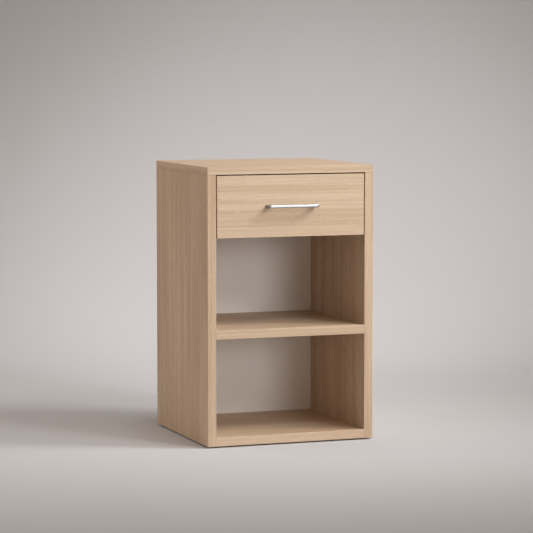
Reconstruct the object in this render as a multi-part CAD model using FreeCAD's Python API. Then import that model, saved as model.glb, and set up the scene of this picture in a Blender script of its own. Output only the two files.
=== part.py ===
"""Narrow nightstand with one drawer on roller runners above two open bays.

Millimetres, +Z up, the drawer opens towards -Y. The origin is on the floor, at the middle of the
whole footprint, handle included. Each sub-part is written to parts/NAME.step.
"""
import FreeCAD
import Part
import os
from FreeCAD import Vector

# ---- Driving sizes -------------------------------------------------------------------------
width = 350.0
depth = 330.0  # front faces of the boards to their rear edges
height = 554.0
side_board = 18.0
top_board = 15.0
shelf_board = 18.0
bottom_board = 18.0
lower_bay_height = 194.0
drawer_front_height = 122.5
drawer_front_board = 18.0
drawer_side_gap = 2.0
drawer_top_gap = 2.3

# Edge bands glued to the boards' visible edges
band = 1.0
band_radius = 0.6

# Back panel in grooves
back_board = 3.0
back_setback = 28.0  # rear edge of the boards to the back panel's rear face
groove_depth = 7.0
groove_play = 0.2
shelf_back_gap = 0.4

# Feet: a plastic glide with a nail
glide_height = 3.0
glide_radius = 8.0
glide_inset = 32.0
glide_rounding = 0.7
nail_radius = 1.1
nail_length = 14.0
nail_head_radius = 2.2
nail_head_depth = 0.9
nail_head = 0.5

# Cam fittings and dowels, in rows behind the front edge and in front of the back panel
row_inset = 45.0
row_pitch = 32.0
fit_gap = 0.05
end_gap = 0.5
cam_radius = 7.5
cam_height = 12.5
cam_reach = 24.0
bolt_radius = 3.0
bolt_channel_radius = 4.0
bolt_head_radius = 3.4
bolt_thread_radius = 2.5
bolt_bite = 10.0
dowel_radius = 4.0
dowel_home_depth = 20.0
dowel_away_depth = 9.5

# Drawer box
box_board = 12.0
box_height = 88.0
drawer_rear_gap = 31.0  # drawer box to the back panel
box_lift = 12.0  # drawer front's lower edge to the box's lower edge
box_bottom_board = 3.0
box_bottom_lift = 8.0
box_groove_depth = 5.0
small_cam_radius = 6.0
small_cam_height = 9.0
small_dowel_radius = 3.0
box_cam_height_share = 0.5
box_dowel_inset = 20.0

# Roller runners
runner_gap = 12.5  # cabinet side to drawer side
runner_front_gap = 2.0
steel = 1.2
cabinet_roller_radius = 8.5
drawer_roller_radius = 7.5
roller_inset = 12.0
rolling_gap = 0.3
running_gap = 0.06
flange_gap = 0.6
web_gap = 0.7
shoulder = 0.8
axial_gap = 0.1
rivet_radius = 2.5
rivet_head_radius = 4.0
rivet_head = 0.5
runner_lift = 2.0  # cabinet flange's running face to the drawer box's lower edge

# Screws
screw_radius = 1.75
screw_head_radius = 3.25
screw_tip = 3.0
runner_screw_length = 13.0
box_back_screw_length = 35.0
box_bottom_screw_length = 16.0
box_bottom_screw_pitch = 80.0
recess_width = 0.8
recess_depth = 1.2

# Bar handle
handle_centres = 96.0
handle_height = 7.0
handle_thickness = 6.0
handle_post_width = 10.0
handle_projection = 19.0
handle_corner_radius = 4.0
handle_edge_radius = 2.2
handle_screw_radius = 2.0
handle_screw_bite = 7.0
handle_screw_clearance = 0.25
handle_screw_head_radius = 4.0
handle_screw_head = 2.4

# ---- Levels worked out from the sizes ------------------------------------------------------
front = (handle_projection - depth) / 2
rear = front + depth
back_face = rear - back_setback - back_board
half_width = width / 2
inner = half_width - side_board
z_base = glide_height
z_floor = z_base + bottom_board
z_shelf = z_floor + lower_bay_height
z_under_top = height - top_board
z_front_top = z_under_top - drawer_top_gap
z_front_bottom = z_front_top - drawer_front_height
drawer_half = inner - drawer_side_gap
drawer_back_face = front + drawer_front_board
box_half = inner - runner_gap
box_inner = box_half - box_board
z_box = z_front_bottom + box_lift
z_box_top = z_box + box_height
box_rear = back_face - drawer_rear_gap
z_box_bottom = z_box + box_bottom_lift
z_run = z_box - runner_lift
runner_front = drawer_back_face + runner_front_gap
runner_rear = box_rear
web_face = inner - steel
box_web_face = box_half + steel
box_runner_screw_length = steel + box_board - box_groove_depth - end_gap
z_cabinet_roller = z_run + flange_gap + cabinet_roller_radius
z_drawer_flange = z_cabinet_roller + cabinet_roller_radius + rolling_gap
z_drawer_roller = z_run + rolling_gap + drawer_roller_radius
z_cabinet_flange = z_drawer_flange - flange_gap - steel
y_cabinet_roller = runner_front + roller_inset
y_drawer_roller = box_rear - roller_inset
z_handle = (z_front_bottom + z_front_top) / 2
y_rows = (front + row_inset, back_face - row_inset)
y_dowels = (front + row_inset + row_pitch, back_face - row_inset - row_pitch)

X = Vector(1, 0, 0)
Y = Vector(0, 1, 0)
Z = Vector(0, 0, 1)
overshoot = 1.0  # how far a cutting tool runs out into free space


# ---- Helpers -------------------------------------------------------------------------------
def block(x0, x1, y0, y1, z0, z1):
    return Part.makeBox(x1 - x0, y1 - y0, z1 - z0, Vector(x0, y0, z0))


def rod(radius, start, end):
    return Part.makeCylinder(radius, (end - start).Length, start, end - start)


def fused(shapes):
    whole = shapes[0].multiFuse(shapes[1:])
    return whole.removeSplitter()


def cut(shape, tools):
    return shape.cut(Part.makeCompound(tools))


def mirrored(shape):
    return shape.mirror(Vector(0, 0, 0), X)


def both(shapes):
    """The right-hand pieces and their mirror images on the left."""
    return shapes + [mirrored(s) for s in shapes]


def placed(shape, origin, along, up):
    """A shape built about its own X and Z axes, moved so that they lie on along and up."""
    moved = shape.copy()
    turn = FreeCAD.Rotation(along, up.cross(along), up, "ZXY")
    moved.Placement = FreeCAD.Placement(origin, turn)
    return moved


def rounded(shape, radius, wanted):
    """Fillets the edges for which wanted(edge's middle point, edge's direction) is true."""
    edges = []
    for edge in shape.Edges:
        start = edge.Vertexes[0].Point
        end = edge.Vertexes[-1].Point
        if wanted((start + end) * 0.5, end - start):
            edges.append(edge)
    return shape.makeFillet(radius, edges)


def save(name, solids):
    os.makedirs("parts", exist_ok=True)
    whole = solids[0] if len(solids) == 1 else Part.makeCompound(solids)
    whole.exportStep("parts/" + name + ".step")


def cross_recess(size, face_depth):
    """Two crossed slots, cut down from z = face_depth about the Z axis."""
    slots = []
    for a, b in ((size, recess_width), (recess_width, size)):
        slots.append(block(-a / 2, a / 2, -b / 2, b / 2, face_depth - recess_depth, face_depth + overshoot))
    return slots


def cam_fitting(board, radius, lock_height, centre, along, face):
    """A cam lock and its bolt: the lock in one board's face, the bolt screwed into the next board.

    centre is where the bolt's line crosses the lock's, along points to the next board and face
    points out of the board at the lock. Returns lock, bolt, home cutters and away cutters.
    """
    top = board / 2
    lock = rod(radius, Vector(0, 0, top - lock_height), Vector(0, 0, top))
    mouth = rod(bolt_channel_radius, Vector(-bolt_channel_radius, 0, 0), Vector(radius + overshoot, 0, 0))
    lock = cut(lock, [mouth] + cross_recess(radius, top))
    bolt = fused([
        rod(bolt_head_radius, Vector(-bolt_radius, 0, 0), Vector(0, 0, 0)),
        rod(bolt_radius, Vector(-bolt_radius, 0, 0), Vector(cam_reach, 0, 0)),
        rod(bolt_channel_radius - 2 * fit_gap, Vector(cam_reach - steel, 0, 0), Vector(cam_reach, 0, 0)),
        rod(bolt_thread_radius, Vector(cam_reach, 0, 0), Vector(cam_reach + bolt_bite, 0, 0)),
    ])
    floor = top - lock_height - end_gap
    home = [
        rod(radius + fit_gap, Vector(0, 0, floor), Vector(0, 0, top + overshoot)),
        rod(bolt_channel_radius, Vector(0, 0, 0), Vector(cam_reach + overshoot, 0, 0)),
        rod(bolt_head_radius + fit_gap, Vector(-bolt_radius - end_gap, 0, 0), Vector(0, 0, 0)),
    ]
    hole_radius = bolt_thread_radius + fit_gap
    hole_end = Vector(cam_reach + bolt_bite + end_gap, 0, 0)
    away = [rod(hole_radius, Vector(cam_reach - overshoot, 0, 0), hole_end)]

    def turned(shapes):
        return [placed(s, centre, along, face) for s in shapes]

    lock, bolt = turned([lock, bolt])
    return lock, bolt, turned(home), turned(away)


def dowel_joint(radius, home_depth, away_depth, point, into):
    """A dowel across a joint face at point. into points into the home board."""
    chamfer = radius / 4
    home_end = point + into * (home_depth - end_gap)
    away_end = point - into * (away_depth - end_gap)
    dowel = rod(radius, away_end, home_end)
    dowel = dowel.makeChamfer(chamfer, [e for e in dowel.Edges if len(e.Vertexes) == 1])
    home = rod(radius + fit_gap, point - into * overshoot, point + into * home_depth)
    away = rod(radius + fit_gap, point + into * overshoot, point - into * away_depth)
    return dowel, home, away


def wood_screw(length, point, into):
    """A countersunk screw whose head lies flush at point, and the cutter that makes room for it."""
    def body(grown, end):
        head = screw_head_radius + grown
        shank = screw_radius + grown
        cone = head - shank
        tip = length - screw_tip
        return fused([
            Part.makeCone(head, shank, cone),
            rod(shank, Vector(0, 0, cone), Vector(0, 0, tip)),
            Part.makeCone(shank, screw_radius / 4, length + end - tip, Vector(0, 0, tip)),
        ])
    slots = []
    for a, b in ((screw_head_radius, recess_width), (recess_width, screw_head_radius)):
        slots.append(block(-a / 2, a / 2, -b / 2, b / 2, -overshoot, recess_depth))
    screw = cut(body(0, 0), slots)
    mouth = rod(screw_head_radius + fit_gap, Vector(0, 0, -overshoot), Vector(0, 0, 0))
    cutter = fused([body(fit_gap, end_gap), mouth])
    across = Y if abs(into.y) < 0.5 else X
    return placed(screw, point, across, into), placed(cutter, point, across, into)


# ---- Carcass -------------------------------------------------------------------------------
def carcass_fittings():
    """Cam fittings and dowels on the right-hand joints of the top, shelf and bottom."""
    made = {}
    mid_side = half_width - side_board / 2
    joints = {
        "top": (side_board, Vector(mid_side, 0, z_under_top), Z, -X),
        "shelf": (shelf_board, Vector(inner, 0, z_shelf + shelf_board / 2), X, -Z),
        "bottom": (bottom_board, Vector(inner, 0, z_base + bottom_board / 2), X, -Z),
    }
    for name, (board, joint, along, face) in joints.items():
        locks, bolts, dowels, home, away = [], [], [], [], []
        for y in y_rows:
            centre = Vector(joint.x, y, joint.z) - along * cam_reach
            lock, bolt, h, a = cam_fitting(board, cam_radius, cam_height, centre, along, face)
            locks.append(lock)
            bolts.append(bolt)
            home += h
            away += a
        for y in y_dowels:
            point = Vector(joint.x, y, joint.z)
            dowel, h, a = dowel_joint(dowel_radius, dowel_home_depth, dowel_away_depth, point, -along)
            dowels.append(dowel)
            home.append(h)
            away.append(a)
        made[name] = {"locks": locks, "bolts": bolts, "dowels": dowels, "home": home, "away": away}
    return made


def groove(x0, x1, z0, z1):
    """The slot that holds an edge of the back panel."""
    return block(x0, x1, back_face - groove_play, back_face + back_board + groove_play, z0, z1)


def make_sides(fittings, screw_cutters, nail_cutters):
    core = block(inner, half_width, front + band, rear, z_base, z_under_top)
    tools = [groove(inner - overshoot, inner + groove_depth, z_base - overshoot, z_under_top + overshoot)]
    tools += fittings["top"]["home"] + fittings["shelf"]["away"] + fittings["bottom"]["away"]
    core = cut(core, tools + screw_cutters + nail_cutters)
    strip = block(inner, half_width, front, front + band, z_base, z_under_top)
    strip = rounded(strip, band_radius, lambda p, d: p.y < front + band / 2 and abs(d.z) > band)
    save("side_panel_right", [core])
    save("side_panel_left", [mirrored(core)])
    save("side_edge_band_right", [strip])
    save("side_edge_band_left", [mirrored(strip)])


def make_top(fittings):
    core = block(band - half_width, half_width - band, front + band, rear, z_under_top, height)
    ends = inner + groove_depth
    tools = [groove(-ends, ends, z_under_top - overshoot, z_under_top + groove_depth)]
    core = cut(core, tools + both(fittings["away"]))
    strip = block(-half_width, half_width, front, front + band, z_under_top, height)
    strip = rounded(strip, band_radius, lambda p, d: p.y < front + band / 2)
    end_strip = block(half_width - band, half_width, front + band, rear, z_under_top, height)
    end_strip = rounded(end_strip, band_radius, lambda p, d: p.x > half_width - band / 2 and abs(d.y) > band)
    save("top_panel", [core])
    save("top_edge_bands", [strip] + both([end_strip]))


def make_level_board(name, board, z0, y_end, fittings, grooved):
    """A board between the sides: the shelf or the bottom."""
    core = block(-inner, inner, front + band, y_end, z0, z0 + board)
    tools = both(fittings["home"])
    if grooved:
        top = z0 + board
        tools.append(groove(-inner - overshoot, inner + overshoot, top - groove_depth, top + overshoot))
    core = cut(core, tools)
    strip = block(-inner, inner, front, front + band, z0, z0 + board)
    strip = rounded(strip, band_radius, lambda p, d: p.y < front + band / 2 and abs(d.x) > band)
    save(name + "_panel", [core])
    save(name + "_edge_band", [strip])


def make_back():
    reach = groove_depth - groove_play
    across = inner + reach
    back = block(-across, across, back_face, back_face + back_board, z_floor - reach, z_under_top + reach)
    save("back_panel", [back])


def make_glides():
    """Four plastic glides with nails, under the side boards."""
    x = half_width - side_board / 2
    glides, nails, cutters = [], [], []
    for y in (front + glide_inset, rear - glide_inset):
        glide = rod(glide_radius, Vector(x, y, 0), Vector(x, y, glide_height))
        glide = rounded(glide, glide_rounding, lambda p, d: p.z < glide_height / 2 and d.Length < band)
        head_top = nail_head_depth + nail_head
        nail = fused([
            rod(nail_head_radius, Vector(x, y, nail_head_depth), Vector(x, y, head_top)),
            rod(nail_radius, Vector(x, y, nail_head_depth), Vector(x, y, glide_height + nail_length)),
        ])
        pocket = rod(nail_head_radius + fit_gap, Vector(x, y, -overshoot), Vector(x, y, head_top))
        hole = rod(nail_radius + fit_gap, Vector(x, y, 0), Vector(x, y, glide_height + nail_length + end_gap))
        glides.append(cut(glide, [pocket, hole]))
        nails.append(nail)
        cutters.append(hole)
    save("floor_glides", both(glides))
    save("glide_nails", both(nails))
    return cutters


# ---- Runners -------------------------------------------------------------------------------
def rivet(web_outside, web_inside, tip, y, z):
    """A rivet along X: shank through the web, shoulder on the web's face, head at the tip."""
    step = 1 if tip > web_inside else -1

    def at(x):
        return Vector(x, y, z)

    return fused([
        rod(rivet_radius, at(web_outside), at(tip)),
        rod(rivet_head_radius, at(web_inside), at(web_inside + step * shoulder)),
        rod(rivet_head_radius, at(tip - step * rivet_head), at(tip)),
    ])


def roller(radius, x0, x1, y, z):
    """A nylon roller along X with rounded rims and a running bore."""
    wheel = rod(radius, Vector(x0, y, z), Vector(x1, y, z))
    wheel = wheel.makeFillet(shoulder, [e for e in wheel.Edges if len(e.Vertexes) == 1])
    bore = rod(rivet_radius + running_gap, Vector(x0 - overshoot, y, z), Vector(x1 + overshoot, y, z))
    return wheel.cut(bore)


def make_cabinet_runners():
    """Channels screwed to the sides, each with a roller at its front end."""
    web = block(web_face, inner, runner_front, runner_rear, z_run - steel, z_cabinet_flange + steel)
    lip = box_web_face + web_gap
    lower = block(lip, inner, runner_front, runner_rear, z_run - steel, z_run)
    upper_front = y_cabinet_roller + cabinet_roller_radius + runner_front_gap
    upper = block(lip, inner, upper_front, runner_rear, z_cabinet_flange, z_cabinet_flange + steel)
    channel = fused([web, lower, upper])

    z_screw = (z_run + z_cabinet_flange) / 2
    first = y_cabinet_roller + 2 * cabinet_roller_radius
    last = runner_rear - roller_inset
    screws, cutters = [], []
    for y in (first, (first + last) / 2, last):
        screw, cutter = wood_screw(runner_screw_length, Vector(web_face, y, z_screw), X)
        screws.append(screw)
        cutters.append(cutter)

    tip = box_web_face + web_gap / 2
    pin = rivet(inner, web_face, tip, y_cabinet_roller, z_cabinet_roller)
    hole = rod(rivet_radius + fit_gap, Vector(web_face - overshoot, y_cabinet_roller, z_cabinet_roller),
               Vector(inner + overshoot, y_cabinet_roller, z_cabinet_roller))
    channel = cut(channel, cutters + [hole])
    wheel = roller(cabinet_roller_radius, tip + rivet_head + axial_gap, web_face - shoulder - axial_gap,
                   y_cabinet_roller, z_cabinet_roller)

    save("cabinet_runner_right", [channel])
    save("cabinet_runner_left", [mirrored(channel)])
    save("cabinet_roller_right", [wheel])
    save("cabinet_roller_left", [mirrored(wheel)])
    save("cabinet_roller_rivets", both([pin]))
    save("cabinet_runner_screws", both(screws))
    return cutters


def make_drawer_runners():
    """Angles under and beside the drawer box, each with a roller at its rear end."""
    web = block(box_half, box_web_face, drawer_back_face, box_rear, z_box - steel, z_drawer_flange + steel)
    under = block(box_inner, box_half, drawer_back_face, box_rear, z_box - steel, z_box)
    over_end = web_face - 2 * web_gap
    over = block(box_half, over_end, drawer_back_face, box_rear, z_drawer_flange, z_drawer_flange + steel)
    angle = fused([web, under, over])

    z_screw = (z_box_bottom + z_drawer_flange) / 2
    first = drawer_back_face + 2 * cabinet_roller_radius
    last = y_drawer_roller - 2 * drawer_roller_radius
    screws, cutters = [], []
    for y in (first, (first + last) / 2, last):
        screw, cutter = wood_screw(box_runner_screw_length, Vector(box_web_face, y, z_screw), -X)
        screws.append(screw)
        cutters.append(cutter)

    tip = web_face - 2 * web_gap
    pin = rivet(box_half, box_web_face, tip, y_drawer_roller, z_drawer_roller)
    hole = rod(rivet_radius + fit_gap, Vector(box_half - overshoot, y_drawer_roller, z_drawer_roller),
               Vector(box_web_face + overshoot, y_drawer_roller, z_drawer_roller))
    angle = cut(angle, cutters + [hole])
    wheel = roller(drawer_roller_radius, box_web_face + shoulder + axial_gap, tip - rivet_head - axial_gap,
                   y_drawer_roller, z_drawer_roller)

    save("drawer_runner_right", [angle])
    save("drawer_runner_left", [mirrored(angle)])
    save("drawer_roller_right", [wheel])
    save("drawer_roller_left", [mirrored(wheel)])
    save("drawer_roller_rivets", both([pin]))
    save("drawer_runner_screws", both(screws))
    return cutters


# ---- Drawer --------------------------------------------------------------------------------
def make_handle():
    """A square bar bent back at both ends, and the two machine screws that hold it."""
    length = handle_centres + handle_post_width
    z0 = z_handle - handle_height / 2
    z1 = z_handle + handle_height / 2
    outline = block(-length / 2, length / 2, front - handle_projection, front, z0, z1)
    outline = rounded(outline, handle_corner_radius,
                      lambda p, d: p.y < front - handle_projection / 2 and abs(d.z) > band)
    gap_half = handle_centres / 2 - handle_post_width / 2
    gap = block(-gap_half, gap_half, front - handle_projection + handle_thickness, front + overshoot,
                z0 - overshoot, z1 + overshoot)
    gap = rounded(gap, handle_corner_radius / 2, lambda p, d: p.y < front - overshoot and abs(d.z) > band)
    bar = outline.cut(gap)
    bar = rounded(bar, handle_edge_radius,
                  lambda p, d: abs(abs(p.z - z_handle) - handle_height / 2) < fit_gap and p.y < front - fit_gap)

    bars, screws, cutters = [], [], []
    for side in (-1, 1):
        x = side * handle_centres / 2
        bite = Vector(x, front - handle_screw_bite, z_handle)
        seat = Vector(x, drawer_back_face, z_handle)
        head_end = seat + Y * handle_screw_head
        shank = rod(handle_screw_radius, bite, seat)
        head = rod(handle_screw_head_radius, seat, head_end)
        head = rounded(head, handle_screw_head / 2,
                       lambda p, d: p.y > seat.y + handle_screw_head / 2 and d.Length < band)
        screw = fused([shank, head])
        slots = [placed(s, head_end, X, Y) for s in cross_recess(handle_screw_head_radius, 0)]
        screws.append(cut(screw, slots))
        bars.append(rod(handle_screw_radius + fit_gap, bite - Y * end_gap, Vector(x, front + overshoot, z_handle)))
        hole = handle_screw_radius + handle_screw_clearance
        cutters.append(rod(hole, Vector(x, front - overshoot, z_handle), seat + Y * overshoot))
    save("drawer_handle", [cut(bar, bars)])
    save("handle_screws", screws)
    return cutters


def box_front_fittings():
    """One cam fitting and two dowels join each box side to the drawer front. Right side only."""
    mid = box_half - box_board / 2
    z_cam = z_box + box_height * box_cam_height_share
    centre = Vector(mid, drawer_back_face + cam_reach, z_cam)
    lock, bolt, home, away = cam_fitting(box_board, small_cam_radius, small_cam_height, centre, -Y, -X)
    dowels = []
    for z in (z_box + box_dowel_inset, z_box_top - box_dowel_inset):
        point = Vector(mid, drawer_back_face, z)
        dowel, h, a = dowel_joint(small_dowel_radius, dowel_home_depth, dowel_away_depth, point, Y)
        dowels.append(dowel)
        home.append(h)
        away.append(a)
    save("drawer_cam_locks", both([lock]))
    save("drawer_cam_bolts", both([bolt]))
    save("drawer_dowels", both(dowels))
    return home, away


def box_slot(x0, x1, y0, y1):
    """The slot that holds an edge of the drawer's bottom."""
    return block(x0, x1, y0, y1, z_box_bottom - groove_play, z_box_bottom + box_bottom_board + groove_play)


def make_drawer_front(away, handle_cutters):
    z0 = z_front_bottom + band
    z1 = z_front_top - band
    x1 = drawer_half - band
    core = block(-x1, x1, front, drawer_back_face, z0, z1)
    ends = box_inner + box_groove_depth
    slot = box_slot(-ends, ends, drawer_back_face - box_groove_depth, drawer_back_face + overshoot)
    core = cut(core, [slot] + both(away) + handle_cutters)
    save("drawer_front", [core])

    upright = block(x1, drawer_half, front, drawer_back_face, z0, z1)
    upright = rounded(upright, band_radius, lambda p, d: p.x > drawer_half - fit_gap and abs(d.z) > band)
    upper = block(-drawer_half, drawer_half, front, drawer_back_face, z1, z_front_top)
    upper = rounded(upper, band_radius, lambda p, d: p.z > z_front_top - fit_gap and abs(d.x) > band)
    lower = block(-drawer_half, drawer_half, front, drawer_back_face, z_front_bottom, z0)
    lower = rounded(lower, band_radius, lambda p, d: p.z < z_front_bottom + fit_gap and abs(d.x) > band)
    save("drawer_front_edge_bands", [upper, lower] + both([upright]))


def make_drawer_box(home, runner_cutters):
    side = block(box_inner, box_half, drawer_back_face, box_rear, z_box, z_box_top)
    slot = box_slot(box_inner - overshoot, box_inner + box_groove_depth, drawer_back_face - overshoot,
                    box_rear + overshoot)
    y_back = box_rear - box_board
    z_back = z_box_bottom + box_bottom_board + groove_play
    back = block(-box_inner, box_inner, y_back, box_rear, z_back, z_box_top)

    back_screws, back_cutters = [], []
    for z in (z_back + box_dowel_inset, z_box_top - box_dowel_inset):
        point = Vector(box_half, y_back + box_board / 2, z)
        screw, cutter = wood_screw(box_back_screw_length, point, -X)
        back_screws.append(screw)
        back_cutters.append(cutter)
    side = cut(side, [slot] + home + runner_cutters + back_cutters)

    reach = box_groove_depth - groove_play
    across = box_inner + reach
    bottom = block(-across, across, drawer_back_face - reach, box_rear, z_box_bottom,
                   z_box_bottom + box_bottom_board)
    bottom_screws, bottom_cutters = [], []
    for x in (-box_bottom_screw_pitch, 0, box_bottom_screw_pitch):
        point = Vector(x, y_back + box_board / 2, z_box_bottom)
        screw, cutter = wood_screw(box_bottom_screw_length, point, Z)
        bottom_screws.append(screw)
        bottom_cutters.append(cutter)
    save("drawer_side_right", [side])
    save("drawer_side_left", [mirrored(side)])
    save("drawer_back", [cut(back, both(back_cutters) + bottom_cutters)])
    save("drawer_bottom", [cut(bottom, bottom_cutters)])
    save("drawer_back_screws", both(back_screws))
    save("drawer_bottom_screws", bottom_screws)


# ---- Build ---------------------------------------------------------------------------------
def build():
    fittings = carcass_fittings()
    for name, made in fittings.items():
        save(name + "_cam_locks", both(made["locks"]))
        save(name + "_cam_bolts", both(made["bolts"]))
        save(name + "_dowels", both(made["dowels"]))
    make_sides(fittings, make_cabinet_runners(), make_glides())
    make_top(fittings["top"])
    make_level_board("shelf", shelf_board, z_shelf, back_face - shelf_back_gap, fittings["shelf"], False)
    make_level_board("bottom", bottom_board, z_base, rear, fittings["bottom"], True)
    make_back()

    home, away = box_front_fittings()
    make_drawer_front(away, make_handle())
    make_drawer_box(home, make_drawer_runners())


build()
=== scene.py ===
"""Looks of a narrow oak nightstand: a material for every part, a pale studio and a camera.

Metres, in the model's own frame: +Z up, the drawer opens towards -Y.
"""
import math
import random

import bpy
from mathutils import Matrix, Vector


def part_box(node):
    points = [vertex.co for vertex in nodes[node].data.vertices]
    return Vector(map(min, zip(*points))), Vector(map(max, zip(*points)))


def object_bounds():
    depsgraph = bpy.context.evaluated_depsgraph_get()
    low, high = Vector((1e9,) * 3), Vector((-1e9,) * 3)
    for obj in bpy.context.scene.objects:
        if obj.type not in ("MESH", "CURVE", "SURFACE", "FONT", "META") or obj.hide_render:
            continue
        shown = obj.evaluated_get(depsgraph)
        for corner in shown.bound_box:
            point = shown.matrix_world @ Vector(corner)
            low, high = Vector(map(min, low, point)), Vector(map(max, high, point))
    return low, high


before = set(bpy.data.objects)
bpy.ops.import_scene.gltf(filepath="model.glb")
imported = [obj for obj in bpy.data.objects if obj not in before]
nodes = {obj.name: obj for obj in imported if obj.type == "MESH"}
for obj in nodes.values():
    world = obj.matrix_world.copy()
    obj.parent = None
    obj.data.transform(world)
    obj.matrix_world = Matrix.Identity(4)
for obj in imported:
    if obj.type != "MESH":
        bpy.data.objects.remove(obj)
cad_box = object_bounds()

X, Y, Z = 0, 1, 2
rear = cad_box[1][Y]


# ---- Node-building helpers -----------------------------------------------------------------
class Net:
    """A node tree being built. Values passed in may be sockets, numbers, vectors or colours."""

    def __init__(self, tree):
        self.tree = tree

    def put(self, socket, value):
        if isinstance(value, bpy.types.NodeSocket):
            self.tree.links.new(value, socket)
        else:
            socket.default_value = value

    def add(self, kind, inputs=None, **settings):
        node = self.tree.nodes.new(kind)
        for key, value in settings.items():
            setattr(node, key, value)
        for key, value in (inputs or {}).items():
            self.put(node.inputs[key], value)
        return node

    def math(self, operation, a, b=0.0):
        return self.add("ShaderNodeMath", {0: a, 1: b}, operation=operation).outputs[0]

    def vector_math(self, operation, a, b):
        return self.add("ShaderNodeVectorMath", {0: a, 1: b}, operation=operation).outputs[0]

    def noise(self, vector, scale=1.0, detail=2.0, roughness=0.5):
        inputs = {"Vector": vector, "Scale": scale, "Detail": detail, "Roughness": roughness}
        return self.add("ShaderNodeTexNoise", inputs, noise_dimensions="3D").outputs["Fac"]

    def remap(self, value, from_low, from_high, to_low=0.0, to_high=1.0):
        inputs = {"Value": value, "From Min": from_low, "From Max": from_high,
                  "To Min": to_low, "To Max": to_high}
        return self.add("ShaderNodeMapRange", inputs, clamp=True).outputs["Result"]

    def mix(self, factor, a, b, blend="MIX"):
        node = self.add("ShaderNodeMix", data_type="RGBA", blend_type=blend)
        self.put(node.inputs[0], factor)
        self.put(node.inputs[6], a)
        self.put(node.inputs[7], b)
        return node.outputs[2]

    def mix_number(self, factor, a, b):
        node = self.add("ShaderNodeMix", data_type="FLOAT")
        self.put(node.inputs[0], factor)
        self.put(node.inputs[2], a)
        self.put(node.inputs[3], b)
        return node.outputs[0]

    def mix_vector(self, factor, a, b):
        node = self.add("ShaderNodeMix", data_type="VECTOR")
        self.put(node.inputs[0], factor)
        self.put(node.inputs[4], a)
        self.put(node.inputs[5], b)
        return node.outputs[1]

    def position(self):
        """The surface point in the part's own frame, in metres."""
        return self.add("ShaderNodeTexCoord").outputs["Object"]

    def along(self, vector, axis):
        return self.add("ShaderNodeSeparateXYZ", {0: vector}).outputs[axis]

    def combine(self, a, b, c):
        return self.add("ShaderNodeCombineXYZ", {0: a, 1: b, 2: c}).outputs[0]

    def stretched(self, vector, along, across, through):
        """The vector scaled by axis. As noise input, the numbers are roughly features per metre."""
        return self.vector_math("MULTIPLY", vector, (along, across, through))

    def bump(self, height, distance=1.0):
        """A normal from a height times a distance. At distance 1.0 the height is in metres."""
        inputs = {"Height": height, "Distance": distance, "Strength": 1.0}
        return self.add("ShaderNodeBump", inputs).outputs["Normal"]


def rgb(red, green, blue):
    return (red, green, blue, 1.0)


def new_material(name):
    """A material with an empty tree apart from its shader. Returns material, net and shader."""
    material = bpy.data.materials.new(name)
    material.use_nodes = True
    tree = material.node_tree
    tree.nodes.clear()
    net = Net(tree)
    shader = net.add("ShaderNodeBsdfPrincipled")
    output = net.add("ShaderNodeOutputMaterial")
    tree.links.new(shader.outputs[0], output.inputs["Surface"])
    return material, net, shader


def new_group(name):
    """A node group with one vector input. Returns tree, net, the vector and the outputs to fill."""
    tree = bpy.data.node_groups.new(name, "ShaderNodeTree")
    tree.interface.new_socket("Vector", in_out="INPUT", socket_type="NodeSocketVector")
    for output in ("Color", "Roughness", "Height"):
        kind = "NodeSocketColor" if output == "Color" else "NodeSocketFloat"
        tree.interface.new_socket(output, in_out="OUTPUT", socket_type=kind)
    net = Net(tree)
    source = net.add("NodeGroupInput").outputs[0]
    return tree, net, source, net.add("NodeGroupOutput").inputs


def use_group(net, tree, vector):
    """Puts a group in a material and returns its outputs."""
    node = net.add("ShaderNodeGroup")
    node.node_tree = tree
    net.put(node.inputs[0], vector)
    return node.outputs


def dress(material, *names):
    """Gives a material to CAD nodes."""
    for name in names:
        slots = nodes[name].data.materials
        slots.clear()
        slots.append(material)


# ---- Wood and board textures, as groups that take (along, across, through) in metres --------
OAK_PALE = rgb(0.725, 0.575, 0.422)
OAK_MID = rgb(0.615, 0.462, 0.320)
OAK_DEEP = rgb(0.435, 0.293, 0.180)
OAK_PORE = rgb(0.300, 0.190, 0.115)
OAK_RUDDY = rgb(0.560, 0.365, 0.235)


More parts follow.
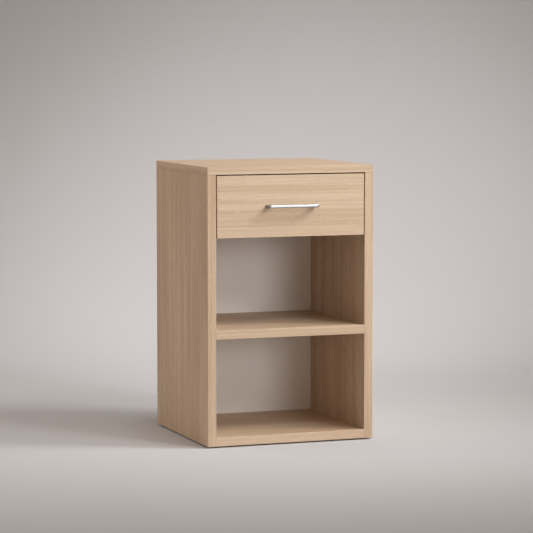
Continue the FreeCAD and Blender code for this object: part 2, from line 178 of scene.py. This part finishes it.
def oak_group():
    """Crown-cut oak veneer: growth rings round a tilted pith, streaks, fibres, pores and rays."""
    tree, net, point, out = new_group("oak_veneer")
    ring_spacing = 0.0066
    pith_tilt = 0.14  # how fast the pith line drops below the board along its length
    sway = 0.012  # the rings' slow wandering across the board
    waver = 0.0005  # and their quick one
    porous_share = 0.62  # of a ring, over which the wood turns from porous to dense
    dense_end = 0.86

    # The rings wander along the board
    slow = net.noise(net.stretched(point, 1.7, 5.0, 5.0), detail=1.0)
    quick = net.noise(net.stretched(point, 9.0, 60.0, 60.0), detail=2.0)
    shift = net.math("ADD", net.remap(slow, 0.0, 1.0, -sway, sway),
                     net.remap(quick, 0.0, 1.0, -waver, waver))
    across = net.math("ADD", net.along(point, Y), shift)
    drop = net.math("MULTIPLY", net.along(point, X), pith_tilt)
    depth_below = net.math("ADD", drop, net.along(point, Z))
    radius = net.math("SQRT", net.math("ADD", net.math("MULTIPLY", across, across),
                                       net.math("MULTIPLY", depth_below, depth_below)))
    phase = net.math("FRACT", net.math("DIVIDE", radius, ring_spacing))
    rise = net.remap(phase, 0.0, porous_share)
    fall = net.remap(phase, dense_end, 1.0, 1.0, 0.0)
    late = net.math("MULTIPLY", rise, fall)  # 0 in the porous early wood, 1 in the dense late wood

    # Layers of figure, from a hand's breadth wide down to single pores and rays
    tone = net.noise(net.stretched(point, 1.6, 9.0, 9.0), detail=2.0)
    belt = net.noise(net.stretched(point, 1.5, 34.0, 34.0), detail=2.0, roughness=0.65)
    band = net.noise(net.stretched(point, 2.0, 95.0, 95.0), detail=3.0, roughness=0.65)
    streak = net.noise(net.stretched(point, 1.3, 260.0, 260.0), detail=5.0, roughness=0.72)
    fibre = net.noise(net.stretched(point, 22.0, 900.0, 900.0), detail=3.0, roughness=0.6)
    dash = net.noise(net.stretched(point, 70.0, 1500.0, 1500.0), detail=1.0)
    ray = net.noise(net.stretched(point, 55.0, 210.0, 900.0), detail=1.0)

    # Each layer lies over those before it, as strongly as its remap says
    ring_strength = net.remap(tone, 0.3, 0.7, 0.03, 0.16)
    early = net.math("MULTIPLY", net.math("SUBTRACT", 1.0, late), ring_strength)
    streaks = net.remap(streak, 0.40, 0.58, 0.0, 0.90)
    color = net.mix(net.remap(tone, 0.25, 0.75), OAK_PALE, OAK_MID)
    color = net.mix(streaks, color, OAK_MID)
    color = net.mix(net.remap(streak, 0.52, 0.68, 0.0, 0.60), color, OAK_DEEP)
    color = net.mix(early, color, OAK_DEEP)
    color = net.mix(net.remap(belt, 0.42, 0.62, 0.0, 0.40), color, OAK_RUDDY)
    color = net.mix(net.remap(belt, 0.52, 0.68, 0.0, 0.20), color, OAK_DEEP)
    color = net.mix(net.remap(band, 0.46, 0.62, 0.0, 0.26), color, OAK_DEEP)
    color = net.mix(net.remap(band, 0.50, 0.34, 0.0, 0.34), color, OAK_PALE)
    color = net.mix(net.remap(fibre, 0.35, 0.75, 0.0, 0.24), color, OAK_DEEP)
    color = net.mix(net.remap(ray, 0.64, 0.74, 0.0, 0.30), color, OAK_PALE)
    pore_strength = net.remap(late, 0.25, 0.85, 0.46, 0.20)
    pore = net.math("MULTIPLY", net.remap(dash, 0.58, 0.68), pore_strength)
    color = net.mix(pore, color, OAK_PORE)

    gloss = net.remap(streak, 0.3, 0.7, 0.44, 0.54)
    gloss = net.math("ADD", gloss, net.math("MULTIPLY", pore, 0.18))
    height = net.math("SUBTRACT", net.math("MULTIPLY", fibre, 0.35), pore)
    net.put(out["Color"], color)
    net.put(out["Roughness"], gloss)
    net.put(out["Height"], height)
    return tree


def chipboard_group():
    """Raw particleboard: flat chips of several tones pressed together, with small voids."""
    tree, net, point, out = new_group("raw_particleboard")
    warp = net.noise(point, scale=260.0, detail=2.0)
    warped = net.vector_math("ADD", net.stretched(point, 300.0, 300.0, 760.0),
                             net.combine(warp, warp, 0.0))
    chips = net.add("ShaderNodeTexVoronoi", {"Vector": warped, "Scale": 1.0}, feature="F1")
    shade = net.along(chips.outputs["Color"], X)
    color = net.mix(shade, rgb(0.62, 0.47, 0.30), rgb(0.36, 0.24, 0.14))
    dust = net.noise(point, scale=1500.0, detail=2.0)
    color = net.mix(net.remap(dust, 0.45, 0.75, 0.0, 0.5), color, rgb(0.68, 0.54, 0.37))
    void = net.remap(chips.outputs["Distance"], 0.62, 0.85)
    color = net.mix(void, color, rgb(0.16, 0.10, 0.06))
    net.put(out["Color"], color)
    net.put(out["Roughness"], net.remap(dust, 0.2, 0.8, 0.82, 0.95))
    net.put(out["Height"], net.math("SUBTRACT", shade, void))
    return tree


def hardboard_group():
    """Raw brown hardboard: matted fibres pressed against a fine screen."""
    tree, net, point, out = new_group("raw_hardboard")
    fibres = net.noise(point, scale=420.0, detail=5.0, roughness=0.7)
    blotch = net.noise(point, scale=14.0, detail=3.0)
    color = net.mix(net.remap(fibres, 0.3, 0.7), rgb(0.300, 0.182, 0.098), rgb(0.415, 0.270, 0.155))
    color = net.mix(net.remap(blotch, 0.3, 0.7, 0.0, 0.4), color, rgb(0.245, 0.145, 0.080))
    threads = 850.0
    weave = net.stretched(point, threads, threads, threads)
    warp_way = net.math("SINE", net.along(weave, X))
    weft_way = net.math("SINE", net.along(weave, Y))
    screen = net.math("MULTIPLY", warp_way, weft_way)
    net.put(out["Color"], color)
    net.put(out["Roughness"], net.remap(fibres, 0.2, 0.8, 0.70, 0.88))
    net.put(out["Height"], net.math("ADD", net.math("MULTIPLY", screen, 0.5), fibres))
    return tree


def foil_group():
    """Pale paper foil printed with a faint straight grain."""
    tree, net, point, out = new_group("grained_foil")
    bands = net.noise(net.stretched(point, 2.0, 120.0, 120.0), detail=4.0, roughness=0.6)
    ticks = net.noise(net.stretched(point, 45.0, 900.0, 900.0), detail=1.0)
    color = net.mix(net.remap(bands, 0.3, 0.7), rgb(0.690, 0.585, 0.455), rgb(0.610, 0.495, 0.365))
    color = net.mix(net.remap(ticks, 0.6, 0.7, 0.0, 0.45), color, rgb(0.47, 0.36, 0.25))
    net.put(out["Color"], color)
    net.put(out["Roughness"], net.remap(bands, 0.3, 0.7, 0.42, 0.50))
    net.put(out["Height"], bands)
    return tree


OAK = oak_group()
CHIPBOARD = chipboard_group()
HARDBOARD = hardboard_group()
FOIL = foil_group()


# ---- Materials made from the groups --------------------------------------------------------
# Depth of each surface's relief, in metres
VENEER_RELIEF = 0.00007
CHIPBOARD_RELIEF = 0.0004
HARDBOARD_RELIEF = 0.00012
FOIL_RELIEF = 0.00002
PAINT_RELIEF = 0.00003

chance = random.Random(7)


def grain_point(net, point, grain, through, offset, fineness=1.0):
    """The surface point as (along the grain, across it, through the board), moved to its own log.

    A fineness below 1 spreads the figure across the board, above 1 packs it closer.
    """
    across = X + Y + Z - grain - through
    turned = net.combine(*(net.along(point, axis) for axis in (grain, across, through)))
    return net.vector_math("ADD", net.stretched(turned, 1.0, fineness, 1.0), offset)


def log_offset():
    """Where a board was cut from its log: each board gets its own place."""
    log_reach = 0.35
    pith_shift = 0.05
    nearest, farthest = 0.045, 0.085  # from the pith line
    along = chance.uniform(-log_reach, log_reach)
    across = chance.uniform(-pith_shift, pith_shift)
    return (along, across, chance.uniform(nearest, farthest))


def on_planes(net, point, planes):
    """1 where the surface lies on one of the planes, given as (axis, place), and 0 elsewhere."""
    near = 0.00015
    mask = None
    for axis, place in planes:
        here = net.add("ShaderNodeMath", {0: net.along(point, axis), 1: place, 2: near},
                       operation="COMPARE").outputs[0]
        mask = here if mask is None else net.math("MAXIMUM", mask, here)
    return mask


def outer_planes(name, *sides):
    """The planes of a node's box: (axis, 0) is its low side and (axis, 1) its high side."""
    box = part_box(name)
    return [(axis, box[end][axis]) for axis, end in sides]


def finish_board(net, shader, face, core, mask, face_relief, core_relief, color=None):
    """Joins a faced board's two textures: the face where mask is 1 and the raw core elsewhere.

    The color given takes the place of the face texture's own.
    """
    net.put(shader.inputs["Base Color"], net.mix(mask, core["Color"], color or face["Color"]))
    net.put(shader.inputs["Roughness"], net.mix_number(mask, core["Roughness"], face["Roughness"]))
    rough = net.math("MULTIPLY", core["Height"], core_relief)
    fine = net.math("MULTIPLY", face["Height"], face_relief)
    net.put(shader.inputs["Normal"], net.bump(net.mix_number(mask, rough, fine)))


def mark_joint(net, color, point, joint):
    """Darkens the last of a surface before joint = (axis, place), where dust and shade gather."""
    width = 0.0011
    strength = 0.62
    axis, place = joint
    gap = net.math("ABSOLUTE", net.math("SUBTRACT", net.along(point, axis), place))
    return net.mix(net.remap(gap, 0.0, width, strength, 0.0), color, OAK_PORE)


def lacquer(shader):
    """A thin satin lacquer that barely shines."""
    shader.inputs["Specular IOR Level"].default_value = 0.30
    shader.inputs["Coat Weight"].default_value = 0.03
    shader.inputs["Coat Roughness"].default_value = 0.30


def veneered_board(name, grain, through, sides, offset=None, joint=None, painted_light_share=0.0, fineness=1.0):
    """An oak-veneered particleboard panel: veneer on the named sides, raw core on the others.

    Grain and through are axes. The veneer can be lightened towards the palest oak by a share,
    as painted light, darkened at a joint, and made finer or coarser than the other boards'.
    """
    material, net, shader = new_material(name + "_oak")
    point = net.position()
    vector = grain_point(net, point, grain, through, offset or log_offset(), fineness)
    face = use_group(net, OAK, vector)
    core = use_group(net, CHIPBOARD, point)
    mask = on_planes(net, point, outer_planes(name, *sides))
    # Painted light: the veneer is lightened towards the palest oak by the share given, standing in
    # for the light on this board
    color = net.mix(painted_light_share, face["Color"], OAK_PALE)
    if joint:
        color = mark_joint(net, color, point, joint)
    finish_board(net, shader, face, core, mask, VENEER_RELIEF, CHIPBOARD_RELIEF, color)
    lacquer(shader)
    dress(material, name)


def banded_edge(name, grain, through, other_grain=None, split=None, joint=None, painted_light_share=0.0):
    """Oak edge band, lightened towards the palest oak as painted light and darkened at a joint like
    a board's veneer.

    Where split = (axis, low, high) holds, its grain runs along other_grain.
    """
    material, net, shader = new_material(name + "_oak")
    point = net.position()
    vector = grain_point(net, point, grain, through, log_offset())
    if split:
        axis, low, high = split
        place = net.along(point, axis)
        inside = net.math("MULTIPLY", net.math("GREATER_THAN", place, low),
                          net.math("LESS_THAN", place, high))
        other = grain_point(net, point, other_grain, through, log_offset())
        vector = net.mix_vector(inside, vector, other)
    face = use_group(net, OAK, vector)
    # Painted light: the band is lightened towards the palest oak by the share given, standing in
    # for the light on it
    color = net.mix(painted_light_share, face["Color"], OAK_PALE)
    if joint:
        color = mark_joint(net, color, point, joint)
    net.put(shader.inputs["Base Color"], color)
    net.put(shader.inputs["Roughness"], face["Roughness"])
    net.put(shader.inputs["Normal"], net.bump(face["Height"], VENEER_RELIEF))
    lacquer(shader)
    dress(material, name)


def dress_carcass():
    faces = {axis: [(axis, 0), (axis, 1)] for axis in (X, Z)}  # both broad sides of a board
    # Painted light: the top, the shelf's and bottom's edge bands and the top's bands are lightened
    # towards the palest oak
    veneered_board("top_panel", X, Z, faces[Z], offset=(0.10, -0.12, 0.06), painted_light_share=0.18)
    for side in ("left", "right"):
        top_joint = (Z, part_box("side_panel_" + side)[1][Z])
        veneered_board("side_panel_" + side, Z, X, faces[X], joint=top_joint, fineness=0.55)
        banded_edge("side_edge_band_" + side, Z, Y, joint=top_joint)
    for name in ("shelf", "bottom"):
        veneered_board(name + "_panel", X, Z, faces[Z])
        banded_edge(name + "_edge_band", X, Y, painted_light_share=0.20)
    top_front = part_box("top_panel")[0][Y]
    banded_edge("top_edge_bands", X, Z, other_grain=Y, split=(Y, top_front, rear), painted_light_share=0.15)


def dress_drawer_front():
    # Painted light: the drawer front is lightened towards the palest oak
    veneered_board("drawer_front", X, Y, [(Y, 0), (Y, 1)], offset=(-0.02, 0.03, 0.055), painted_light_share=0.18)
    low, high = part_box("drawer_front")
    banded_edge("drawer_front_edge_bands", X, Y, other_grain=Z, split=(Z, low[Z], high[Z]))


def dress_back():
    """The back panel: smooth off-white paint in front, raw hardboard on the rear and the edges."""
    material, net, shader = new_material("back_panel_white")
    point = net.position()
    flat = net.combine(net.along(point, X), net.along(point, Z), net.along(point, Y))
    core = use_group(net, HARDBOARD, flat)
    mottle = net.noise(point, scale=9.0, detail=3.0)
    peel = net.noise(point, scale=700.0, detail=2.0)
    paint = net.mix(net.remap(mottle, 0.3, 0.7), rgb(0.955, 0.925, 0.892), rgb(0.932, 0.900, 0.865))
    mask = on_planes(net, point, outer_planes("back_panel", (Y, 0)))
    net.put(shader.inputs["Base Color"], net.mix(mask, core["Color"], paint))
    satin = net.remap(peel, 0.3, 0.7, 0.50, 0.58)
    net.put(shader.inputs["Roughness"], net.mix_number(mask, core["Roughness"], satin))
    rough = net.math("MULTIPLY", core["Height"], HARDBOARD_RELIEF)
    fine = net.math("MULTIPLY", peel, PAINT_RELIEF)
    net.put(shader.inputs["Normal"], net.bump(net.mix_number(mask, rough, fine)))
    dress(material, "back_panel")


def dress_drawer_box():
    """Foil-wrapped drawer sides and back, and a thin bottom that is foiled on top only."""
    wrapped = {
        "drawer_side_left": (X, [(X, 0), (X, 1), (Z, 1)]),
        "drawer_side_right": (X, [(X, 0), (X, 1), (Z, 1)]),
        "drawer_back": (Y, [(Y, 0), (Y, 1), (Z, 1)]),
    }
    for name, (through, sides) in wrapped.items():
        grain = X + Y - through
        material, net, shader = new_material(name + "_foil")
        point = net.position()
        face = use_group(net, FOIL, grain_point(net, point, grain, through, log_offset()))
        core = use_group(net, CHIPBOARD, point)
        mask = on_planes(net, point, outer_planes(name, *sides))
        finish_board(net, shader, face, core, mask, FOIL_RELIEF, CHIPBOARD_RELIEF)
        dress(material, name)
    material, net, shader = new_material("drawer_bottom_foil")
    point = net.position()
    face = use_group(net, FOIL, grain_point(net, point, X, Z, log_offset()))
    core = use_group(net, HARDBOARD, point)
    mask = on_planes(net, point, outer_planes("drawer_bottom", (Z, 1)))
    finish_board(net, shader, face, core, mask, FOIL_RELIEF, HARDBOARD_RELIEF)
    dress(material, "drawer_bottom")


# ---- Metal and plastic ---------------------------------------------------------------------
def metal(name, light, dark, roughness, grain=(1.0, 1.0, 1.0), scale=600.0, dent=0.00002):
    """A metal with fine marks stretched by grain and a slow change of tone."""
    material, net, shader = new_material(name)
    point = net.position()
    marks = net.noise(net.stretched(point, *grain), scale=scale, detail=4.0, roughness=0.65)
    cloud = net.noise(point, scale=30.0, detail=3.0)
    color = net.mix(net.remap(cloud, 0.3, 0.7), light, dark)
    color = net.mix(net.remap(marks, 0.5, 0.8, 0.0, 0.35), color, dark)
    net.put(shader.inputs["Base Color"], color)
    gloss = net.remap(marks, 0.25, 0.75, roughness - 0.06, roughness + 0.08)
    net.put(shader.inputs["Roughness"], gloss)
    net.put(shader.inputs["Normal"], net.bump(marks, dent))
    shader.inputs["Metallic"].default_value = 1.0
    return material


def plastic(name, light, dark, roughness, scale=900.0, dent=0.00003, subsurface=0.0, coat=0.0):
    """A moulded or coated surface: even colour, slight clouding and a fine pebbled skin."""
    material, net, shader = new_material(name)
    point = net.position()
    cloud = net.noise(point, scale=45.0, detail=3.0)
    pebble = net.noise(point, scale=scale, detail=2.0)
    net.put(shader.inputs["Base Color"], net.mix(net.remap(cloud, 0.3, 0.7), light, dark))
    gloss = net.remap(pebble, 0.3, 0.7, roughness - 0.04, roughness + 0.06)
    net.put(shader.inputs["Roughness"], gloss)
    net.put(shader.inputs["Normal"], net.bump(pebble, dent))
    shader.inputs["Subsurface Weight"].default_value = subsurface
    shader.inputs["Subsurface Scale"].default_value = 0.002
    shader.inputs["Coat Weight"].default_value = coat
    return material


def beech():
    """Raw beech. The dowels lie along different axes, so its dark flecks are kept short."""
    material, net, shader = new_material("raw_beech")
    point = net.position()
    fibre = net.noise(net.stretched(point, 60.0, 700.0, 160.0), detail=3.0)
    fleck = net.noise(net.stretched(point, 220.0, 900.0, 420.0), detail=1.0)
    color = net.mix(net.remap(fibre, 0.3, 0.7), rgb(0.68, 0.50, 0.33), rgb(0.57, 0.39, 0.24))
    color = net.mix(net.remap(fleck, 0.60, 0.70, 0.0, 0.7), color, rgb(0.36, 0.21, 0.12))
    net.put(shader.inputs["Base Color"], color)
    net.put(shader.inputs["Roughness"], net.remap(fibre, 0.3, 0.7, 0.62, 0.74))
    net.put(shader.inputs["Normal"], net.bump(fibre, 0.0001))
    return material


def dress_hardware():
    satin = metal("satin_nickel", rgb(0.44, 0.44, 0.45), rgb(0.40, 0.40, 0.41), 0.32,
                  grain=(0.03, 1.0, 1.0), scale=2600.0, dent=0.000004)
    dress(satin, "drawer_handle")
    plated = metal("zinc_plated_steel", rgb(0.66, 0.67, 0.69), rgb(0.52, 0.52, 0.52), 0.34)
    dress(plated, *(n for n in nodes if n.endswith(("screws", "bolts", "nails", "rivets"))))
    cast = metal("cast_zinc", rgb(0.55, 0.55, 0.56), rgb(0.40, 0.40, 0.41), 0.50,
                 scale=1100.0, dent=0.00006)
    dress(cast, *(n for n in nodes if n.endswith("cam_locks")))
    dress(beech(), *(n for n in nodes if n.endswith("dowels")))
    enamel = plastic("cream_epoxy_enamel", rgb(0.76, 0.745, 0.70), rgb(0.72, 0.70, 0.65), 0.30,
                     scale=380.0, dent=0.00004, coat=0.2)
    dress(enamel, *(n for n in nodes if "_runner_" in n and not n.endswith("screws")))
    nylon = plastic("white_nylon", rgb(0.80, 0.79, 0.75), rgb(0.75, 0.74, 0.70), 0.38,
                    subsurface=0.15)
    dress(nylon, *(n for n in nodes if "_roller_" in n and not n.endswith("rivets")))
    glide = plastic("brown_glide_plastic", rgb(0.060, 0.042, 0.032), rgb(0.045, 0.032, 0.025), 0.48)
    dress(glide, "floor_glides")


# ---- Camera --------------------------------------------------------------------------------
CAMERA_YAW = math.radians(20.09)  # to the left of the front
CAMERA_PITCH = math.radians(5.05)  # looking down
CAMERA_PLACE = (-1.6707, -4.5807, 0.7728)
CAMERA_LENS = 161.94  # millimetres
SENSOR_WIDTH = 36.0


def make_camera():
    data = bpy.data.cameras.new("camera")
    data.sensor_width = SENSOR_WIDTH
    data.lens = CAMERA_LENS
    data.clip_end = 50.0
    camera = bpy.data.objects.new("camera", data)
    camera.location = CAMERA_PLACE
    camera.rotation_euler = (math.radians(90) - CAMERA_PITCH, 0.0, -CAMERA_YAW)
    bpy.context.collection.objects.link(camera)
    bpy.context.scene.camera = camera


# ---- Studio --------------------------------------------------------------------------------
def make_backdrop():
    """A pale floor that sweeps up into a wall behind the object."""
    reach = 6.0
    sweep_start = 0.9
    sweep_radius = 1.6
    wall_height = 4.5
    steps = 24
    profile = [(-reach, 0.0), (sweep_start, 0.0)]
    for step in range(1, steps + 1):
        angle = math.radians(90) * step / steps
        away = sweep_start + sweep_radius * math.sin(angle)
        profile.append((away, sweep_radius * (1 - math.cos(angle))))
    profile.append((sweep_start + sweep_radius, wall_height))

    # The sweep faces the camera, so its profile runs along the camera's heading
    heading = Vector((math.sin(CAMERA_YAW), math.cos(CAMERA_YAW), 0))
    side = Vector((heading.y, -heading.x, 0))
    points, faces = [], []
    for away, height in profile:
        for end in (-reach, reach):
            points.append(heading * away + side * end + Vector((0, 0, height)))
    for row in range(len(profile) - 1):
        first = 2 * row
        faces.append((first, first + 1, first + 3, first + 2))
    mesh = bpy.data.meshes.new("backdrop")
    mesh.from_pydata(points, [], faces)
    mesh.shade_smooth()
    backdrop = bpy.data.objects.new("backdrop", mesh)
    bpy.context.collection.objects.link(backdrop)

    material, net, shader = new_material("pale_backdrop")
    tone = net.noise(net.position(), scale=1.3, detail=2.0)
    paper = net.mix(tone, rgb(0.632, 0.632, 0.643), rgb(0.612, 0.612, 0.623))
    net.put(shader.inputs["Base Color"], paper)
    shader.inputs["Roughness"].default_value = 0.85
    shader.inputs["Specular IOR Level"].default_value = 0.15

    # It can be seen through from behind and from below, so no view of the object is blocked
    output = next(node for node in net.tree.nodes if node.type == "OUTPUT_MATERIAL")
    from_behind = net.add("ShaderNodeNewGeometry").outputs["Backfacing"]
    clear = net.add("ShaderNodeBsdfTransparent").outputs[0]
    one_way = net.add("ShaderNodeMixShader", {0: from_behind, 1: shader.outputs[0], 2: clear})
    net.put(output.inputs["Surface"], one_way.outputs[0])
    mesh.materials.append(material)


KEY_TINT = (1.0, 0.995, 0.990)
CARD_TINT = (1.0, 0.860, 0.720)
ROOM_TINT = (1.0, 0.870, 0.790)
ROOM_STRENGTH = 0.39
LAMP_DISTANCE = 3.6


def around(target, azimuth, elevation):
    """A lamp's place: azimuth degrees to the right of the object's front, elevation above level."""
    turn, rise = math.radians(azimuth), math.radians(elevation)
    level = LAMP_DISTANCE * math.cos(rise)
    height = LAMP_DISTANCE * math.sin(rise)
    return target + Vector((level * math.sin(turn), -level * math.cos(turn), height))


def add_light(kind, name, place, target, power, tint):
    data = bpy.data.lights.new(name, kind)
    data.energy = power
    data.color = tint
    light = bpy.data.objects.new(name, data)
    light.location = place
    light.rotation_euler = (Vector(target) - Vector(place)).to_track_quat("-Z", "Y").to_euler()
    bpy.context.collection.objects.link(light)
    return data


def area_light(name, place, target, size, power, tint):
    data = add_light("AREA", name, place, target, power, tint)
    data.shape = "RECTANGLE"
    data.size, data.size_y = size


def spot_light(name, place, target, cone, softness, power):
    """A round soft light whose pool fades evenly from its middle to its rim."""
    data = add_light("SPOT", name, place, target, power, KEY_TINT)
    data.spot_size = math.radians(cone)
    data.spot_blend = 1.0
    data.shadow_soft_size = softness


def make_lights():
    chest = Vector((0.0, 0.0, 0.35))
    shoulder = Vector((0.0, -0.1, 0.45))
    brow = Vector((0.0, 0.0, 0.5))
    standing = (  # name, target, azimuth, elevation, cone, softness, power
        ("key_from_right", brow, 60, 38, 44, 0.55, 272),
        ("side_key", chest, 72, 36, 54, 0.55, 45),
        ("key_from_front", shoulder, 35, 44, 42, 0.50, 105),
        ("handle_key", shoulder, 28, 26, 22, 0.30, 95),
        ("low_fill", shoulder, 15, 6, 30, 0.60, 125),
    )
    for name, target, azimuth, elevation, cone, softness, power in standing:
        spot_light(name, around(target, azimuth, elevation), target, cone, softness, power)
    hanging = (  # name, place, target, cone, softness, power
        ("overhead", (0.1, -0.3, 3.2), (0.05, 0.0, 0.3), 30, 0.40, 54),
        ("backdrop_glow", (0.55, -0.6, 3.0), (0.82, 1.72, 0.12), 46, 0.40, 212),
        ("floor_glow", (0.45, -0.4, 3.0), (0.50, 1.55, 0.05), 36, 0.40, 75),
    )
    for name, place, target, cone, softness, power in hanging:
        spot_light(name, place, target, cone, softness, power)
    area_light("left_card", (-1.5, 0.5, 0.9), (-0.17, 0.0, 0.35), size=(0.6, 0.8), power=4.0,
               tint=CARD_TINT)
    world = bpy.data.worlds.new("soft_room")
    world.use_nodes = True
    background = world.node_tree.nodes["Background"]
    background.inputs["Color"].default_value = rgb(*ROOM_TINT)
    background.inputs["Strength"].default_value = ROOM_STRENGTH
    bpy.context.scene.world = world


# ---- Build ---------------------------------------------------------------------------------
make_camera()
dress_carcass()
dress_drawer_front()
dress_back()
dress_drawer_box()
dress_hardware()
make_backdrop()
make_lights()
bpy.context.scene.view_settings.view_transform = "Standard"
